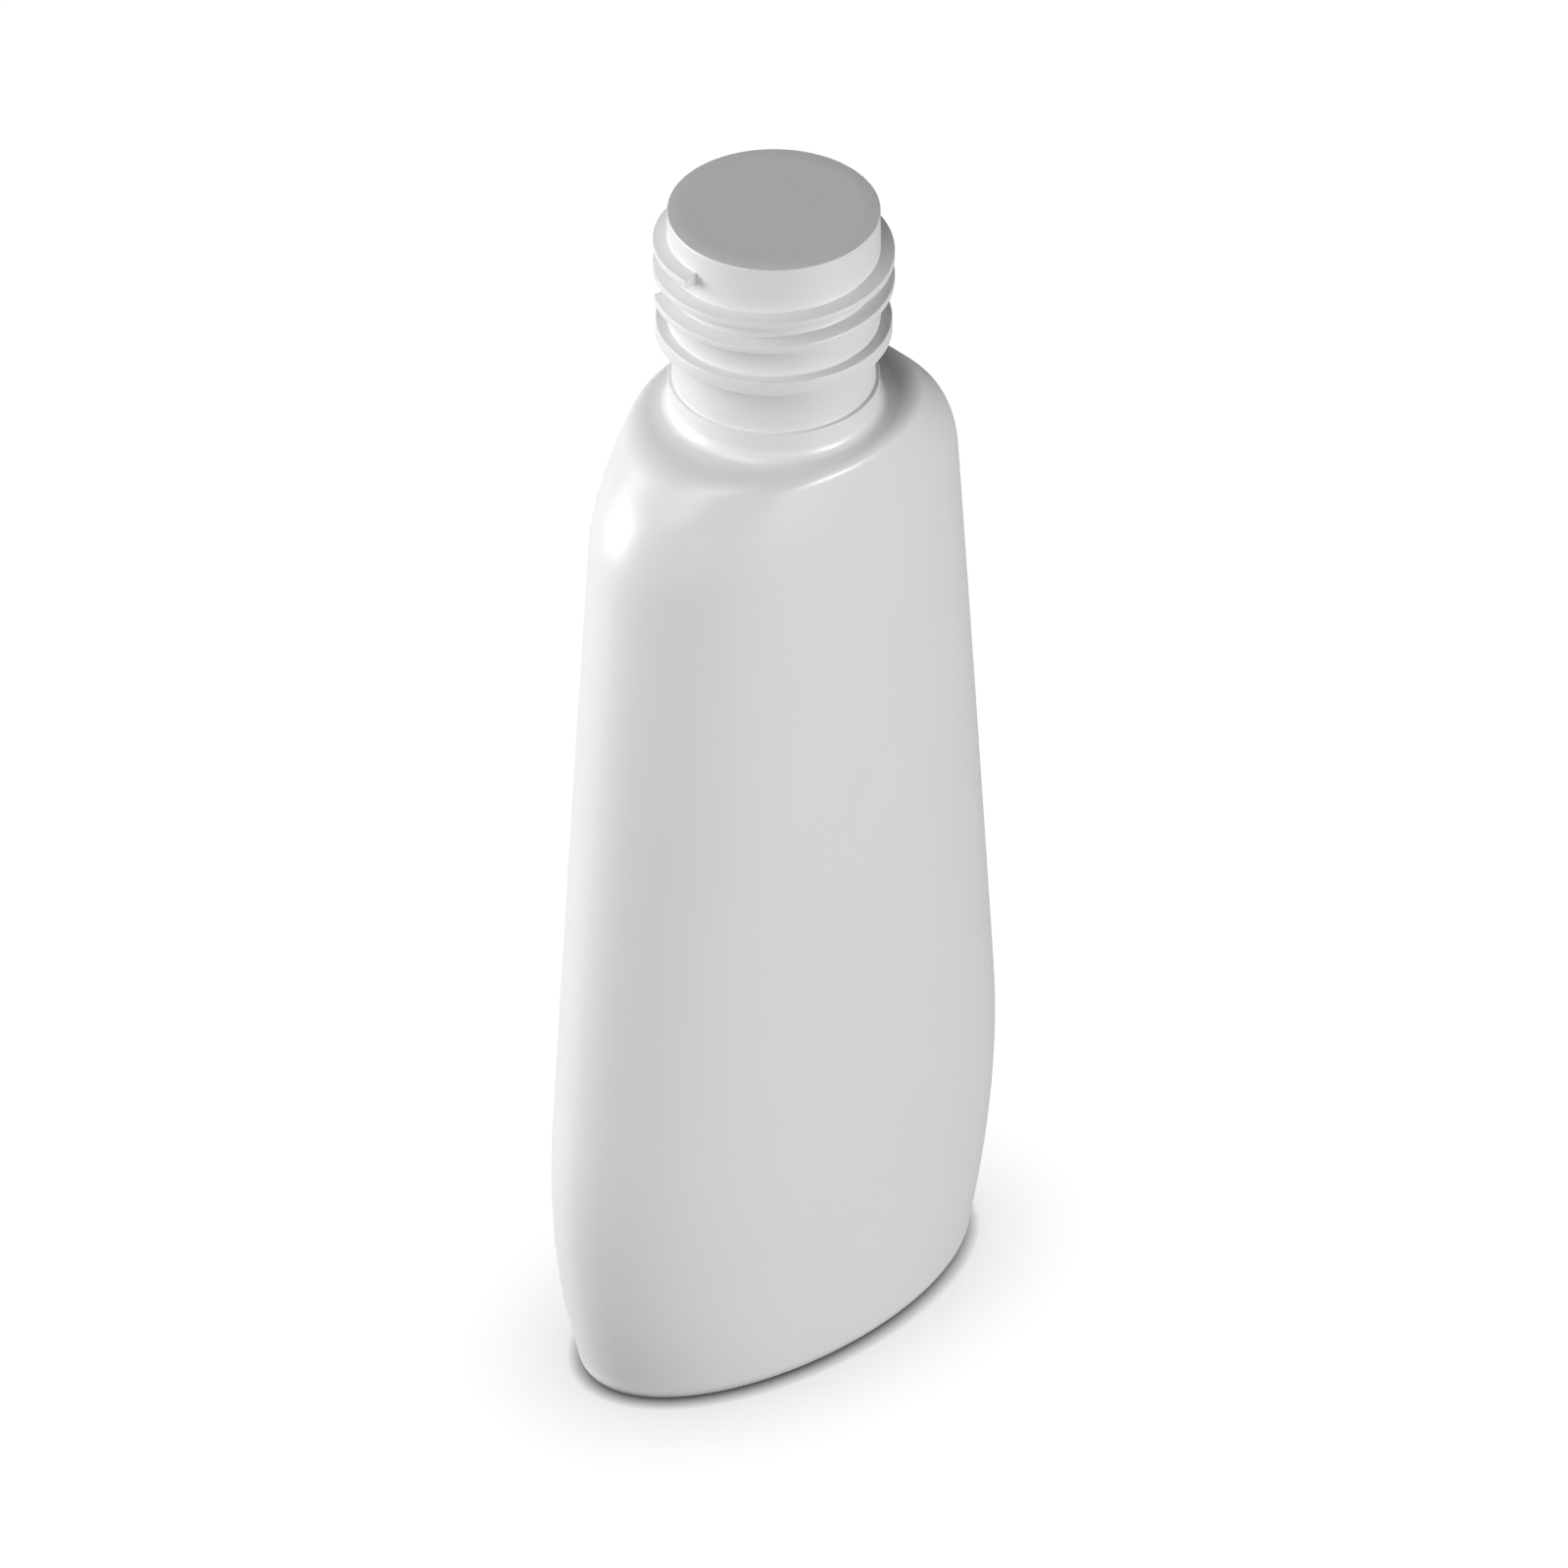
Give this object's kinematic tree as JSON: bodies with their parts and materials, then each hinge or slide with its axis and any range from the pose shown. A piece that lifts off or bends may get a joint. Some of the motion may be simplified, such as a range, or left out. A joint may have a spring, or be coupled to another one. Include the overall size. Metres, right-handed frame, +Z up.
{
  "type": "oval bottle",
  "caption": "Oval tapered toiletry bottle with a threaded round neck, closed by a flat foil seal that lifts off the lip.",
  "frame": {"origin": "on the floor, in the middle of the oval foot and under the neck's centre line", "axes": "+Z up along the neck's centre line, +X along the oval's long side, +Y across its flat faces"},
  "size_m": [0.0572, 0.0272, 0.1349],
  "materials": {
    "white_plastic": "satin white polyethylene, blow moulded",
    "seal_foil": "foil under a matt white lacquer, finely embossed"
  },
  "bodies": {
    "bottle": {"bottle": "white_plastic"},
    "seal": {"foil_seal": "seal_foil"}
  },
  "joints": [
    {"name": "seal_lift", "type": "slide", "parent": "bottle", "child": "seal", "axis": [0, 0, 1], "range_m": [0, 0.05]}
  ]
}
